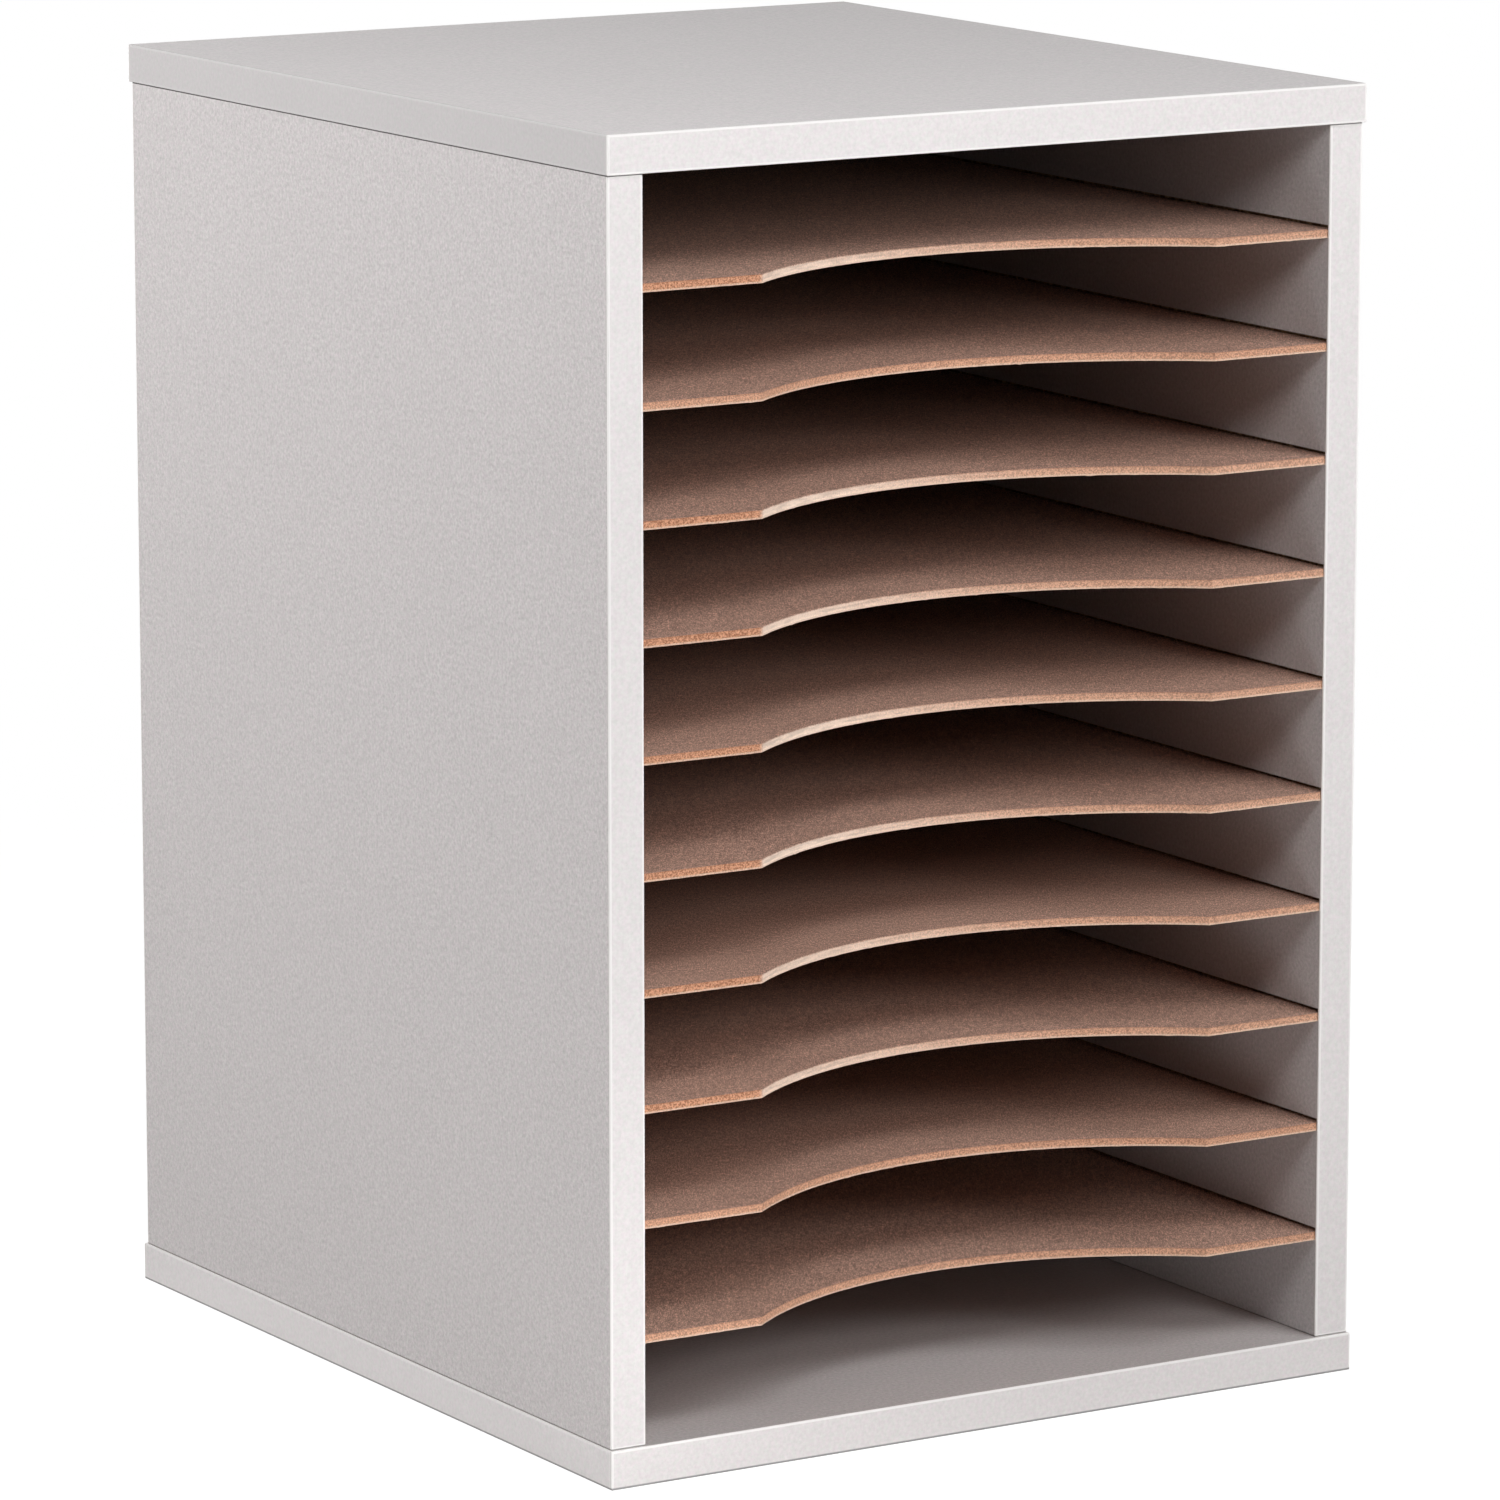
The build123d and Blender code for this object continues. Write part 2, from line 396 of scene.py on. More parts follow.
def band_finish(node, axis, outward, side, tone, look, shift):
    """Plastic edge band, with its trimmed edges paler, partly as scraped plastic and partly as a
    painted highlight, its glue line and faint drawn lines.
    """
    finish = Finish(node.replace("_", " ") + " plastic", shift)
    run = 3 - axis - outward
    low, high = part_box(node)

    def trimmed(line):
        middle, half = span(node, line)
        full = look.trim_width * TRIM_FULL
        return finish.ramp(finish.away(line, middle), half - look.trim_width, half - full)

    trim_and_highlight = finish.maths("MAXIMUM", trimmed(axis), trimmed(run))
    depth_in = finish.away(outward, high[outward] if side > 0 else low[outward])
    thickness = high[outward] - low[outward]
    glue = finish.ramp(depth_in, thickness - GLUE_LINE, thickness - GLUE_LINE / 2)

    pebble = finish.pebbles(look)
    lines = finish.noise(finish.stretched(run, DRAWN_LENGTH), DRAWN_WIDTH)
    cloud = finish.noise(finish.where, BAND_CLOUD)
    dots = finish.specks(finish.where, *BAND_DOTS)
    drawn_out = finish.stretched(run, SCUFF_LENGTH)
    scuff_lines = finish.noise(drawn_out, SCUFF_WIDTH, detail=3.0, roughness=0.7)
    scuffs = finish.times(
        finish.ramp(scuff_lines, low=0.66, high=0.72),
        finish.ramp(cloud, low=0.5, high=0.6),
    )
    color = finish.shaded(
        look.band_color,
        tone,
        finish.swing(pebble, look.pebble_contrast * BAND_PEBBLE_TONE),
        finish.swing(lines, 0.02),
        finish.swing(cloud, 0.015),
        finish.dimmed(dots, 0.16),
        finish.dimmed(scuffs, 0.05),
    )
    color = finish.tinted(color, look)
    # The pale trimmed edge is partly the scraped plastic and partly a painted highlight along the
    # band's edges
    shown = trim_and_highlight if outward == Y else finish.times(trim_and_highlight, look.side_trim_highlight)
    color = finish.blend(shown, color, finish.shaded(look.trim_highlight_color, tone))
    color = finish.blend(glue, color, solid(look.glue_color))
    # Painted shade: dark lines at the head and the foot of an upright band, and a painted contact
    # shadow along the foot of a bottom band
    if axis == X:
        color = finish.end_shade_lines(color, node, look)
    elif node.startswith("bottom"):
        color = finish.shaded(color, finish.seam(low.z, look.ground_shadow_width, look.ground_shadow_tone))

    sheen = finish.spread(lines, look.gloss_roughness - 0.08, look.gloss_roughness + 0.04)
    roughness = finish.maths("MAXIMUM", sheen, finish.times(trim_and_highlight, 0.6))
    height = finish.plus(pebble, finish.times(lines, 0.4))
    relief = finish.relief(height, look.pebble_height * BAND_PEBBLE_RELIEF)
    return finish.done(color, roughness, relief)


# Hardboard: the size of its clouds, and its dark specks' spacing, radius and share of the places
BOARD_CLOUD = 22 * MM
BOARD_SPECKS = (5.5 * MM, 0.38 * MM, 0.22)

# How far the screen's wires waver, and over what distance
SCREEN_WAVER = 0.5 * MM
SCREEN_WAVE = 6 * MM


def hardboard_colors(finish, where, run, contrast, look):
    """The pressed face of hardboard: fibres along an axis, flecks, clouds and dark specks."""
    drawn = finish.stretched(run, look.fibre_length, where)
    fibre = finish.noise(drawn, look.fibre_size, detail=3.0, roughness=0.6)
    fleck = finish.noise(drawn, look.fibre_size / 2, roughness=0.6)
    blotch = finish.noise(where, look.fibre_size * 4)
    cloud = finish.noise(where, BOARD_CLOUD, detail=3.0)
    specks = finish.specks(where, *BOARD_SPECKS)
    face = finish.shaded(
        look.face_color,
        finish.swing(fibre, contrast),
        finish.swing(fleck, contrast),
        finish.swing(blotch, contrast * 0.3),
        finish.swing(cloud, 0.06),
        finish.dimmed(specks, 0.5),
    )
    return face, fibre, fleck


def screen_print(finish, first, second, look):
    """The weave that the press leaves on the rough face of hardboard, from 0 to 1."""
    waver = finish.times(finish.noise(finish.where, SCREEN_WAVE), SCREEN_WAVER)
    turns = math.pi / look.screen_pitch

    def ridge(part):
        turned = finish.times(finish.plus(part, waver), turns)
        return finish.maths("ABSOLUTE", finish.maths("SINE", turned))

    return finish.maths("SQRT", finish.times(ridge(first), ridge(second)))


# Sawn edges: the size of the crumbs, and the height of a ply with how far it is drawn out
CRUMB_SIZE = 0.55 * MM
PLY_HEIGHT = 0.9 * MM
PLY_STRETCH = (0.1, 0.1, 1.0)

# Where the lines along a sawn edge fade in, from 0 at its underside to 1 at its top
LIP = (0.26, 0.14)
BROW = (0.84, 0.94)


def sawn_edge(finish, where, crumb, fleck, look):
    """The colours of a sawn edge, from its light lower lip to its dark upper brow."""
    rise = finish.carried("rise")
    grain = finish.ramp(crumb, low=0.36, high=0.62)
    edge = finish.blend(grain, solid(look.edge_dark_color), solid(look.edge_color))
    drawn_out = finish.vectors("MULTIPLY", where, PLY_STRETCH)
    plies = finish.noise(drawn_out, PLY_HEIGHT, roughness=0.6)
    pale = finish.shaded(
        look.pale_color,
        finish.ramp(plies, low=0.38, high=0.56, start=0.84, end=1.06),
        finish.swing(crumb, 0.2),
        finish.ramp(rise, low=0.5, high=0.25, start=0.95, end=1.1),
    )
    edge = finish.blend(finish.carried("pale_cut"), edge, pale)
    lip = finish.times(
        finish.ramp(rise, *LIP), finish.ramp(fleck, low=0.35, high=0.6, start=0.3, end=0.9)
    )
    edge = finish.blend(lip, edge, solid(look.arris_color))
    brow = finish.times(
        finish.ramp(rise, *BROW), finish.ramp(fleck, low=0.4, high=0.6, start=0.7, end=0.2)
    )
    return finish.blend(brow, edge, solid(look.edge_dark_color))


def shelf_finish(look):
    """Brown hardboard with tan sawn edges, set out by what each shelf's mesh carries."""
    finish = Finish("brown hardboard shelf")
    turn = finish.times(finish.carried("shelf_number"), SHELF_SHIFT)
    where = finish.vectors("ADD", finish.place, finish.join(turn, turn, 0.0))
    laid = {"Vector": where, "Angle": look.fibre_turn}
    turned = finish.add("ShaderNodeVectorRotate", laid, rotation_type="Z_AXIS").outputs[0]
    face, fibre, fleck = hardboard_colors(finish, turned, Y, look.fibre_contrast, look)
    crumb = finish.noise(where, CRUMB_SIZE, detail=3.0, roughness=0.7)
    edge = sawn_edge(finish, where, crumb, fleck, look)

    cut = finish.upright()
    color = finish.blend(cut, face, edge)
    roughness = finish.plus(finish.spread(fibre, 0.56, 0.7), finish.times(cut, 0.25))

    parts = finish.split(finish.place)
    under = finish.ramp(finish.facing[Z], -FACING_HIGH, -FACING_LOW, 1.0, 0.0)
    weave = finish.times(screen_print(finish, parts[X], parts[Y], look), under)
    ground = finish.relief(weave, look.screen_depth)
    height = finish.plus(finish.times(fibre, 0.4), finish.times(crumb, cut))
    return finish.done(color, roughness, finish.relief(height, look.fibre_height, ground))


def back_finish(look):
    """Hardboard with its smooth face to the compartments and the screen's print behind."""
    finish = Finish("brown hardboard back", BACK_SHIFT)
    face, fibre, fleck = hardboard_colors(finish, finish.where, Z, look.back_contrast, look)
    parts = finish.split(finish.place)
    behind = finish.ramp(finish.facing[Y], FACING_LOW, FACING_HIGH)
    weave = finish.times(screen_print(finish, parts[X], parts[Z], look), behind)
    worn = finish.ramp(weave, low=0.0, high=0.8, start=0.82, end=1.0)
    color = finish.vectors("MULTIPLY", face, finish.blend(behind, WHITE, worn))
    ground = finish.relief(weave, look.screen_depth)
    height = finish.plus(finish.times(fibre, 0.4), finish.times(fleck, 0.2))
    relief = finish.relief(height, look.fibre_height, ground)
    return finish.done(color, finish.spread(fibre, 0.6, 0.75), relief)


# Nail steel: the width of its scratches, how many times longer than wide they are, how deep
# they are, and the size of its dull spots
SCRATCH_WIDTH = 0.12 * MM
SCRATCH_LENGTH = 8.0
SCRATCH_DEPTH = 0.01 * MM
DULL_SIZE = 0.9 * MM


def nail_finish(look):
    """Bright drawn steel with fine scratches and a few dull spots."""
    finish = Finish("bright nail steel")
    scratches = finish.noise(finish.stretched(X, SCRATCH_LENGTH), SCRATCH_WIDTH, roughness=0.6)
    dull = finish.ramp(finish.noise(finish.where, DULL_SIZE, detail=3.0), low=0.55, high=0.68)
    color = finish.blend(dull, solid(look.steel_color), solid(look.dull_color))
    color = finish.shaded(color, finish.swing(scratches, 0.08))
    roughness = finish.plus(finish.spread(scratches, 0.22, 0.38), finish.times(dull, 0.2))
    finish.surface.inputs["Metallic"].default_value = 1.0
    return finish.done(color, roughness, finish.relief(scratches, SCRATCH_DEPTH))


# Dowel wood: the width of its grain and the pores' spacing, radius and share of the places,
# each with how many times longer than wide they are, and the depth of both
GRAIN_WIDTH, GRAIN_LENGTH = 0.5 * MM, 18.0
PORES, PORE_LENGTH = (0.8 * MM, 0.14 * MM, 0.5), 5.0
GRAIN_DEPTH = 0.05 * MM


def dowel_finish(look):
    """Beech with fine grain along the dowel and short dark pores."""
    finish = Finish("beech dowel wood")
    drawn_out = finish.stretched(Z, GRAIN_LENGTH)
    grain = finish.noise(drawn_out, GRAIN_WIDTH, detail=4.0, roughness=0.6)
    pores = finish.specks(finish.stretched(Z, PORE_LENGTH), *PORES)
    color = finish.blend(grain, solid(look.wood_dark_color), solid(look.wood_color))
    color = finish.shaded(color, finish.dimmed(pores, 0.4))
    relief = finish.relief(finish.minus(grain, pores), GRAIN_DEPTH)
    return finish.done(color, finish.spread(grain, 0.6, 0.75), relief)


def seen_directly(sheet):
    """1 for a ray from the camera, a mirror or glass, and 0 for light that only bounces."""
    path = sheet.add("ShaderNodeLightPath").outputs
    seen = sheet.maths("MAXIMUM", path["Is Camera Ray"], path["Is Glossy Ray"])
    return sheet.maths("MAXIMUM", seen, path["Is Transmission Ray"])


FLOOR_GRAIN = 4 * MM


def floor_finish(look):
    """A pale floor: it bounces a little light, reads as white, and keeps the shadow."""
    material = bpy.data.materials.new("pale floor")
    material.use_nodes = True
    sheet = Sheet(material.node_tree)
    sheet.tree.nodes.clear()
    seen = seen_directly(sheet)
    place = sheet.add("ShaderNodeTexCoord").outputs["Object"]
    flat = sheet.vectors("MULTIPLY", place, (1.0, 1.0, 0.0))
    reach = sheet.add("ShaderNodeVectorMath", {0: flat}, operation="LENGTH").outputs["Value"]
    far = sheet.ramp(reach, look.shadow_reach / 2, look.shadow_reach)
    bounce = sheet.add("ShaderNodeBsdfDiffuse", {"Color": solid(look.bounce_color)}).outputs[0]
    grain = sheet.noise(place, FLOOR_GRAIN, detail=3.0)
    lit_color = sheet.shaded(look.floor_color, sheet.swing(grain, 0.02))
    lit = sheet.add("ShaderNodeBsdfDiffuse", {"Color": lit_color}).outputs[0]
    base = sheet.add("ShaderNodeEmission", {"Strength": look.floor_glow}).outputs[0]
    near = sheet.add("ShaderNodeAddShader", {0: lit, 1: base}).outputs[0]
    white = sheet.add("ShaderNodeEmission", {"Strength": 1.0}).outputs[0]
    shown = sheet.add("ShaderNodeMixShader", {0: far, 1: near, 2: white}).outputs[0]
    surface = sheet.add("ShaderNodeMixShader", {0: seen, 1: bounce, 2: shown}).outputs[0]
    sheet.add("ShaderNodeOutputMaterial", {"Surface": surface})
    return material


# Geometry


class Shape(Sheet):
    """A geometry node tree with named inputs, which makes one kind of piece."""

    KINDS = {
        "length": "NodeSocketFloat",
        "number": "NodeSocketFloat",
        "count": "NodeSocketInt",
        "geometry": "NodeSocketGeometry",
        "material": "NodeSocketMaterial",
    }

    def __init__(self, name, inputs):
        super().__init__(bpy.data.node_groups.new(name, "GeometryNodeTree"))
        sockets = self.tree.interface
        for label, kind in inputs.items():
            socket = sockets.new_socket(label, in_out="INPUT", socket_type=self.KINDS[kind])
            if kind == "length":
                socket.subtype = "DISTANCE"
        sockets.new_socket("Geometry", in_out="OUTPUT", socket_type="NodeSocketGeometry")
        self.given = self.add("NodeGroupInput").outputs
        self.tree.is_modifier = True

    def moved(self, geometry, position=None, offset=None, only=None):
        """Geometry whose points are set to a position or shifted by an offset."""
        values = {"Geometry": geometry, "Position": position, "Offset": offset, "Selection": only}
        given = {key: value for key, value in values.items() if value is not None}
        return self.add("GeometryNodeSetPosition", given).outputs[0]

    def carrying(self, geometry, name, value):
        """Geometry whose points carry a named number for its material."""
        values = {"Geometry": geometry, "Name": name, "Value": value}
        kind = {"data_type": "FLOAT", "domain": "POINT"}
        return self.add("GeometryNodeStoreNamedAttribute", values, **kind).outputs[0]

    def carried(self, name):
        """A named number that the points carry."""
        values = {"Name": name}
        return self.add("GeometryNodeInputNamedAttribute", values, data_type="FLOAT").outputs[0]

    def position(self):
        """Where a point stands."""
        return self.add("GeometryNodeInputPosition").outputs[0]

    def pick(self, values):
        """The value whose place in the list is the point's own number."""
        index = self.add("GeometryNodeInputIndex").outputs[0]
        step = self.add("GeometryNodeIndexSwitch", data_type="FLOAT")
        while len(step.index_switch_items) < len(values):
            step.index_switch_items.new()
        self.feed(step.inputs[0], index)
        for place, value in enumerate(values):
            self.feed(step.inputs[place + 1], value)
        return step.outputs[0]

    def turned(self, stations, profile):
        """A rod along Z with its ends closed, from heights and how wide it is at each."""
        line = self.add("GeometryNodeMeshLine", {"Count": len(stations)}).outputs[0]
        height = self.pick([station[0] for station in stations])
        spine = self.moved(line, position=self.join(0.0, 0.0, height))
        curve = self.add("GeometryNodeMeshToCurve", {"Mesh": spine}).outputs[0]
        width = self.pick([station[1] for station in stations])
        values = {"Curve": curve, "Profile Curve": profile, "Scale": width, "Fill Caps": True}
        return self.add("GeometryNodeCurveToMesh", values).outputs[0]

    def creased(self, geometry, angle):
        """Smooth shading with sharp edges where the faces turn by more than the angle."""
        values = {"Geometry": geometry, "Shade Smooth": True}
        smooth = self.add("GeometryNodeSetShadeSmooth", values).outputs[0]
        turn = self.add("GeometryNodeInputMeshEdgeAngle").outputs[0]
        sharp = self.maths("GREATER_THAN", turn, angle)
        values = {"Geometry": smooth, "Selection": sharp, "Shade Smooth": False}
        return self.add("GeometryNodeSetShadeSmooth", values, domain="EDGE").outputs[0]

    def repeated(self, piece, **turning):
        """A piece standing at each of the given places."""
        values = {"Points": self.given["Places"], "Instance": piece, **turning}
        return self.add("GeometryNodeInstanceOnPoints", values).outputs[0]

    def finished(self, geometry):
        """Ends the tree: real geometry in the material that was given."""
        real = self.add("GeometryNodeRealizeInstances", {"Geometry": geometry}).outputs[0]
        values = {"Geometry": real, "Material": self.given["Finish"]}
        dressed = self.add("GeometryNodeSetMaterial", values).outputs[0]
        self.add("NodeGroupOutput", {0: dressed})
        return self.tree


# A shelf's mesh: its rows of faces from front to rear, how strongly they crowd to the front,
# its layers of faces up the edges, and the distance at which its points are joined
SHELF_ROWS = 8
ROW_CROWDING = 1.5
SHELF_LAYERS = 3
JOIN_DISTANCE = 0.01 * MM

# The pale flank: how softly it begins at the notch's left corner, how far past the corner it
# starts and stops fading, and how pale the rest stays
FLANK_BLUR = 0.5 * MM
FLANK_FADE = (15 * MM, 130 * MM)
FLANK_REST = 0.2

# The rough cut: the width of its tears and of its burrs, and the share of the cut's roughness
# by which a burr hangs down
TEAR_SIZE = 1.6 * MM
BURR_SIZE = 2.4 * MM
BURR_DROP = 0.6


def notched_sheet(shape):
    """The level underside of a shelf: a grid whose front is cut back in a shallow arc."""
    given = shape.given
    half_notch = shape.times(given["Notch Width"], 0.5)
    straight = shape.minus(given["Half Width"], half_notch)

    def steps(length):
        return shape.maths("ROUND", shape.over(length, given["Point Spacing"]))

    notch_start = steps(straight)
    notch_steps = steps(given["Notch Width"])
    notch_end = shape.plus(notch_start, notch_steps)
    all_steps = shape.maths("MULTIPLY_ADD", notch_start, 2.0, notch_steps)
    columns = shape.plus(all_steps, 1.0)
    values = {"Size X": 1.0, "Size Y": 1.0, "Vertices X": columns, "Vertices Y": SHELF_ROWS + 1}
    grid = shape.add("GeometryNodeMeshGrid", values).outputs[0]

    spot = shape.split(shape.position())
    along = shape.times(shape.plus(spot[X], 0.5), all_steps)
    inward = shape.plus(spot[Y], 0.5)
    first = shape.ramp(along, 0.0, notch_start, 0.0, straight, "LINEAR")
    second = shape.ramp(along, notch_start, notch_end, 0.0, given["Notch Width"], "LINEAR")
    third = shape.ramp(along, notch_end, all_steps, 0.0, straight, "LINEAR")
    travelled = shape.plus(shape.plus(first, second), third)
    x = shape.minus(travelled, given["Half Width"])

    depth = given["Notch Depth"]
    square = shape.times(half_notch, half_notch)
    chord_sum = shape.maths("MULTIPLY_ADD", depth, depth, square)
    radius = shape.over(chord_sum, shape.times(depth, 2.0))
    under_root = shape.minus(shape.times(radius, radius), shape.times(x, x))
    bow = shape.maths("SQRT", shape.maths("MAXIMUM", under_root, 0.0))
    cut_back = shape.minus(bow, shape.minus(radius, depth))
    front = shape.plus(given["Front"], shape.maths("MAXIMUM", cut_back, 0.0))
    reach = shape.minus(given["Rear"], front)
    y = shape.maths("MULTIPLY_ADD", reach, shape.maths("POWER", inward, ROW_CROWDING), front)
    sheet = shape.carrying(shape.carrying(grid, "inward", inward), "across", x)
    return shape.moved(sheet, position=shape.join(x, y, given["Underside"]))


def thickened(shape, sheet):
    """A closed plate, raised in layers from its level underside."""
    layer = shape.over(shape.given["Thickness"], float(SHELF_LAYERS))
    plate, top = sheet, True
    for _ in range(SHELF_LAYERS):
        values = {"Mesh": plate, "Selection": top, "Offset": (0.0, 0.0, 1.0),
                  "Offset Scale": layer, "Individual": False}
        raised = shape.add("GeometryNodeExtrudeMesh", values)
        plate, top = raised.outputs["Mesh"], raised.outputs["Top"]
    underside = shape.add("GeometryNodeFlipFaces", {"Mesh": sheet}).outputs[0]
    joined = shape.add("GeometryNodeJoinGeometry")
    for half_shell in (plate, underside):
        shape.tree.links.new(half_shell, joined.inputs[0])
    values = {"Geometry": joined.outputs[0], "Distance": JOIN_DISTANCE}
    return shape.add("GeometryNodeMergeByDistance", values).outputs[0]


def marked(shape, plate):
    """The plate with what its finish reads: height in the edge, number and pale cut."""
    given = shape.given
    lift = shape.minus(shape.split(shape.position())[Z], given["Underside"])
    plate = shape.carrying(plate, "rise", shape.over(lift, given["Thickness"]))
    plate = shape.carrying(plate, "shelf_number", given["Number"])
    left_corner = shape.times(given["Notch Width"], -0.5)
    past_corner = shape.minus(shape.carried("across"), left_corner)
    flank = shape.times(
        shape.ramp(past_corner, -FLANK_BLUR, FLANK_BLUR),
        shape.ramp(past_corner, *FLANK_FADE, 1.0, FLANK_REST),
    )
    flank = shape.times(flank, given["Pale Flank"])
    return shape.carrying(plate, "pale_cut", shape.maths("MAXIMUM", flank, given["Pale Edge"]))


def roughened(shape, plate):
    """The plate with its front edge a little torn, and burrs that hang from its lip."""
    given = shape.given
    turn = shape.times(given["Number"], SHELF_SHIFT)
    where = shape.vectors("ADD", shape.position(), shape.join(turn, turn, 0.0))
    tear = shape.minus(shape.noise(where, TEAR_SIZE, detail=3.0, roughness=0.6), 0.5)
    push = shape.times(tear, given["Cut Roughness"])
    burr = shape.ramp(shape.noise(where, BURR_SIZE, roughness=0.6), low=0.58, high=0.74)
    lower = shape.ramp(shape.carried("rise"), low=0.3, high=0.0)
    hang = shape.times(shape.times(burr, given["Cut Roughness"]), lower)
    offset = shape.join(0.0, push, shape.times(hang, -BURR_DROP))
    on_cut = shape.maths("LESS_THAN", shape.carried("inward"), 0.5 / SHELF_ROWS)
    return shape.moved(plate, offset=offset, only=on_cut)


def shelf_shape():
    """A plate whose front edge is cut back in a shallow arc, with a slightly rough cut."""
    shape = Shape("notched shelf", {
        "Half Width": "length",
        "Front": "length",
        "Rear": "length",
        "Underside": "length",
        "Thickness": "length",
        "Notch Width": "length",
        "Notch Depth": "length",
        "Point Spacing": "length",
        "Cut Roughness": "length",
        "Pale Flank": "number",
        "Pale Edge": "number",
        "Number": "number",
        "Finish": "material",
    })
    plate = marked(shape, thickened(shape, notched_sheet(shape)))
    return shape.finished(roughened(shape, plate))


# A nail's head from its top down: each height as a share of the head's height, with the width
# there as a share of the head's width
HEAD_OUTLINE = ((1.0, 0.8), (0.88, 0.94), (0.65, 1.0), (0.2, 1.0))

# The head's underside: how high its rim stands, and its width as a share of the head's
RIM_HEIGHT = 0.01 * MM
RIM_WIDTH = 0.93

# The neck and the point: their widths as a share of the shank's, and the neck's length
NECK_WIDTH = 1.25
NECK_LENGTH = 0.25 * MM
POINT_WIDTH = 0.12

# Edges of a nail that turn by more than this stay sharp
NAIL_CREASE = math.radians(50)


def nail_shape():
    """A flat-headed nail at each place: head, drawn shank and point, each a little turned."""
    shape = Shape("panel nails", {
        "Places": "geometry",
        "Head Diameter": "length",
        "Head Height": "length",
        "Shank Diameter": "length",
        "Length": "length",
        "Tip Length": "length",
        "Sides": "count",
        "Seed": "count",
        "Finish": "material",
    })
    given = shape.given
    head = shape.times(given["Head Diameter"], 0.5)
    shank = shape.times(given["Shank Diameter"], 0.5)
    stations = [
        (shape.times(given["Head Height"], height), shape.times(head, width))
        for height, width in HEAD_OUTLINE
    ]
    stations += [
        (RIM_HEIGHT, shape.times(head, RIM_WIDTH)),
        (0.0, shape.times(shank, NECK_WIDTH)),
        (-NECK_LENGTH, shank),
        (shape.minus(given["Tip Length"], given["Length"]), shank),
        (shape.times(given["Length"], -1.0), shape.times(shank, POINT_WIDTH)),
    ]
    values = {"Resolution": given["Sides"], "Radius": 1.0}
    circle = shape.add("GeometryNodeCurvePrimitiveCircle", values).outputs[0]
    nail = shape.creased(shape.turned(stations, circle), NAIL_CREASE)

    values = {2: 0.0, 3: math.tau, "Seed": given["Seed"]}
    spin = shape.add("FunctionNodeRandomValue", values, data_type="FLOAT").outputs[1]
    facing_back = shape.join(-math.pi / 2, 0.0, 0.0)
    standing = shape.add("FunctionNodeEulerToRotation", {0: facing_back}).outputs[0]
    spun = shape.add("FunctionNodeEulerToRotation", {0: shape.join(0.0, 0.0, spin)}).outputs[0]
    values = {"Rotation": standing, "Rotate By": spun}
    turn = shape.add("FunctionNodeRotateRotation", values, rotation_space="LOCAL").outputs[0]
    return shape.finished(shape.repeated(nail, Rotation=turn))


def dowel_shape():
    """A fluted dowel with chamfered ends, standing at each place."""
    shape = Shape("fluted dowels", {
        "Places": "geometry",
        "Diameter": "length",
        "Length": "length",
        "Chamfer": "length",
        "Flute Depth": "length",
        "Flutes": "count",
        "Finish": "material",
    })
    given = shape.given
    radius = shape.times(given["Diameter"], 0.5)
    inner = shape.minus(1.0, shape.over(given["Flute Depth"], radius))
    half = shape.times(given["Length"], 0.5)
    shoulder = shape.minus(half, given["Chamfer"])
    tip = shape.minus(radius, given["Chamfer"])
    stations = [
        (half, tip),
        (shoulder, radius),
        (shape.times(shoulder, -1.0), radius),
        (shape.times(half, -1.0), tip),
    ]
    values = {"Points": given["Flutes"], "Inner Radius": inner, "Outer Radius": 1.0}
    star = shape.add("GeometryNodeCurveStar", values).outputs[0]
    return shape.finished(shape.repeated(shape.turned(stations, star)))


# Packed points that lie closer than this belong to the same nail or dowel
LOOSE_REACH = 8 * MM


def places_of(node, plane):
    """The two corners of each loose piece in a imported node, told apart in a plane."""
    groups = []
    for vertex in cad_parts[node].data.vertices:
        for group in groups:
            if all(abs(vertex.co[axis] - group[0][axis]) < LOOSE_REACH for axis in plane):
                group.append(vertex.co.copy())
                break
        else:
            groups.append([vertex.co.copy()])
    corners = []
    for group in groups:
        low = Vector(min(point[axis] for point in group) for axis in range(3))
        high = Vector(max(point[axis] for point in group) for axis in range(3))
        corners.append((low, high))
    return sorted(corners, key=lambda pair: tuple(pair[0]))


# An arris is rounded in this many steps, where two faces turn by more than the angle
ARRIS_STEPS = 2
ARRIS_ANGLE = math.radians(60)


def piece_from(name, tree, values, points=(), arris=None):
    """Runs a tree once on a new object and keeps its result as a plain mesh."""
    start = bpy.data.meshes.new(name)
    start.from_pydata([tuple(point) for point in points], [], [])
    piece = bpy.data.objects.new(name, start)
    bpy.context.scene.collection.objects.link(piece)
    maker = piece.modifiers.new("maker", "NODES")
    maker.node_group = tree
    for item in tree.interface.items_tree:
        if item.in_out == "INPUT" and item.name in values:
            maker[item.identifier] = values[item.name]
    if arris is not None:
        rounding = piece.modifiers.new("arris", "BEVEL")
        rounding.width = arris
        rounding.segments = ARRIS_STEPS
        rounding.limit_method = "ANGLE"
        rounding.angle_limit = ARRIS_ANGLE
    depsgraph = bpy.context.evaluated_depsgraph_get()
    made = bpy.data.meshes.new_from_object(
        piece.evaluated_get(depsgraph), preserve_all_data_layers=True, depsgraph=depsgraph
    )
    piece.modifiers.clear()
    piece.data = made
    made.name = name
    bpy.data.meshes.remove(start)
    if not made.polygons:
        raise RuntimeError(f"the tree {tree.name} made no faces for {name}")
    return piece


def stand_for(piece, node):
    """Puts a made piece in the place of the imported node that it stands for."""
    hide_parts(node)
    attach(piece, BODY)


def dress(node, material):
    """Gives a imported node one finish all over."""
    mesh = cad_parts[node].data
    if not mesh.materials:
        mesh.materials.append(material)
    for place in range(len(mesh.materials)):
        mesh.materials[place] = material


# Settings


